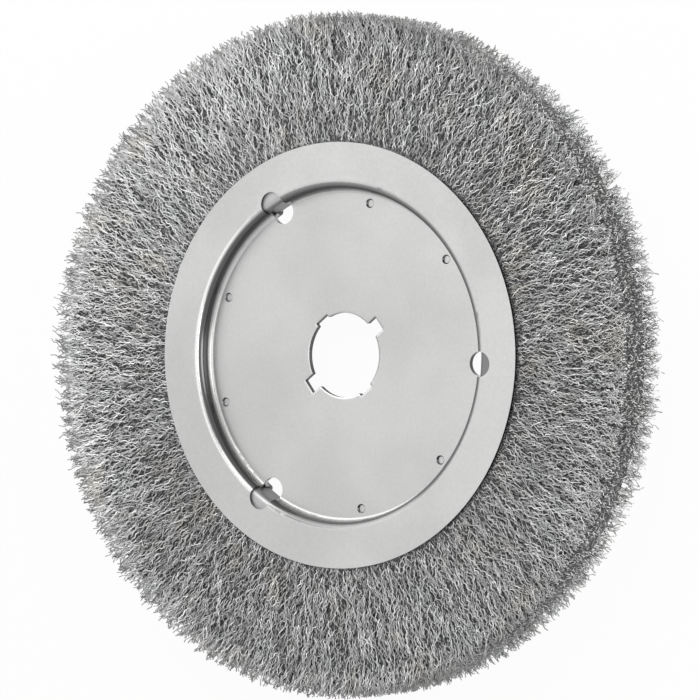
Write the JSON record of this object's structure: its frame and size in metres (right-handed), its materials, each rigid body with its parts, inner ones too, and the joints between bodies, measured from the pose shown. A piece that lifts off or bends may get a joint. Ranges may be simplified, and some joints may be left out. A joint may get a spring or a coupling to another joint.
{
  "type": "crimped wire wheel brush",
  "caption": "Crimped steel wire wheel brush for a bench grinder, with dished face plates and a keyed arbor hole.",
  "frame": {"origin": "centre of the arbor hole, on the plane where the two plates touch", "axes": "+Z along the spin axis, out of the front plate; a slot of the step lies 4.8 degrees from +X towards -Y"},
  "size_m": [0.2538, 0.254, 0.0264],
  "materials": {
    "plate_steel": "pressed bright steel sheet, satin",
    "channel_steel": "rolled steel strip and drawn wire, dull",
    "wire_steel": "crimped steel wire, bright strands over dark gaps"
  },
  "bodies": {
    "root": {"front_plate": "plate_steel", "back_plate": "plate_steel", "core_channel": "channel_steel", "anchor_ring": "channel_steel", "wire_bundle_01": "wire_steel", "wire_bundle_02": "wire_steel", "wire_bundle_03": "wire_steel", "wire_bundle_04": "wire_steel", "wire_bundle_05": "wire_steel", "wire_bundle_06": "wire_steel", "wire_bundle_07": "wire_steel", "wire_bundle_08": "wire_steel", "wire_bundle_09": "wire_steel", "wire_bundle_10": "wire_steel", "wire_bundle_11": "wire_steel", "wire_bundle_12": "wire_steel", "wire_bundle_13": "wire_steel", "wire_bundle_14": "wire_steel", "wire_bundle_15": "wire_steel", "wire_bundle_16": "wire_steel", "wire_bundle_17": "wire_steel", "wire_bundle_18": "wire_steel", "wire_bundle_19": "wire_steel", "wire_bundle_20": "wire_steel", "wire_bundle_21": "wire_steel", "wire_bundle_22": "wire_steel", "wire_bundle_23": "wire_steel", "wire_bundle_24": "wire_steel", "wire_bundle_25": "wire_steel", "wire_bundle_26": "wire_steel", "wire_bundle_27": "wire_steel", "wire_bundle_28": "wire_steel", "wire_bundle_29": "wire_steel", "wire_bundle_30": "wire_steel"}
  },
  "joints": []
}
